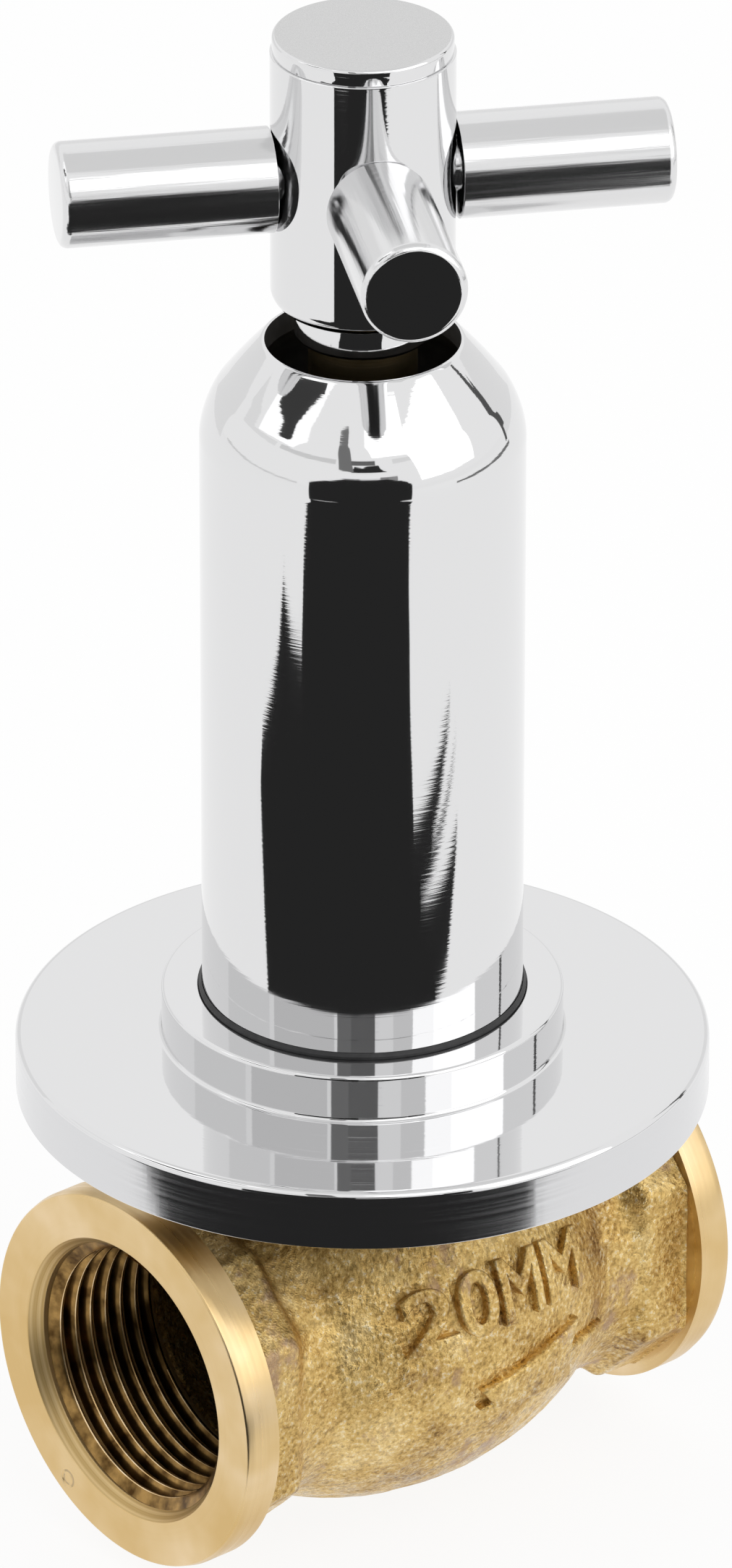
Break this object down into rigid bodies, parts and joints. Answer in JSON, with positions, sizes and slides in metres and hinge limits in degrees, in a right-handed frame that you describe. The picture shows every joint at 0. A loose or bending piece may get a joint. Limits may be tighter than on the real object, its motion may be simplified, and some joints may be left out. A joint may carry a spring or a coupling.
{
  "type": "concealed stop valve",
  "caption": "Stop valve for building into a wall: a brass globe body with threaded ends, a chromed sleeve, a sliding wall flange and a turned handle with bar arms.",
  "frame": {"origin": "where the spindle's axis meets the finished wall, in the plane of the wall flange's foot", "axes": "+Z out of the wall along the spindle's axis, +X along the pipe from the inlet to the outlet"},
  "size_m": [0.065, 0.065, 0.1494],
  "materials": {
    "cast_brass": "sand cast, machined at its ends",
    "turned_brass": "turned",
    "polished_chrome": "polished",
    "spring_steel": "plain",
    "black_rubber": "moulded",
    "fibre": "pressed fibre",
    "white_plastic": "turned"
  },
  "bodies": {
    "root": {"valve_body": "cast_brass", "seat_bridge": "cast_brass", "headwork_gasket": "fibre", "headwork_body": "turned_brass", "sleeve": "polished_chrome"},
    "handle": {"spindle": "turned_brass", "spindle_seal_rings": "black_rubber", "thrust_washer": "white_plastic", "spindle_clip": "spring_steel", "extension_spindle": "turned_brass", "extension_grub_screw": "spring_steel", "handle_hub": "polished_chrome", "right_arm": "polished_chrome", "left_arm": "polished_chrome", "front_arm": "polished_chrome", "handle_lock_washer": "spring_steel", "handle_screw": "spring_steel", "hub_cap": "polished_chrome", "hub_cap_ring": "black_rubber"},
    "jumper": {"jumper_carriage": "turned_brass", "seat_washer": "black_rubber", "washer_screw": "turned_brass"},
    "flange_ring": {"flange_seal_ring": "black_rubber"},
    "flange": {"wall_flange": "polished_chrome"}
  },
  "joints": [
    {"name": "handle_turn", "type": "hinge", "parent": "root", "child": "handle", "pos_m": [0, 0, 0.05], "axis": [0, 0, 1], "range_deg": [0, 1080]},
    {"name": "jumper_lift", "type": "slide", "parent": "root", "child": "jumper", "axis": [0, 0, 1], "range_m": [0, 0.00525]},
    {"name": "flange_slide", "type": "slide", "parent": "root", "child": "flange_ring", "axis": [0, 0, 1], "range_m": [-0.003, 0.055]},
    {"name": "flange_turn", "type": "hinge", "parent": "flange_ring", "child": "flange", "pos_m": [0, 0, 0.005], "axis": [0, 0, 1], "continuous": true}
  ],
  "couplings": [
    {"joint": "jumper_lift", "follows": "handle_turn", "m_per_rad": 0.00027852}
  ]
}
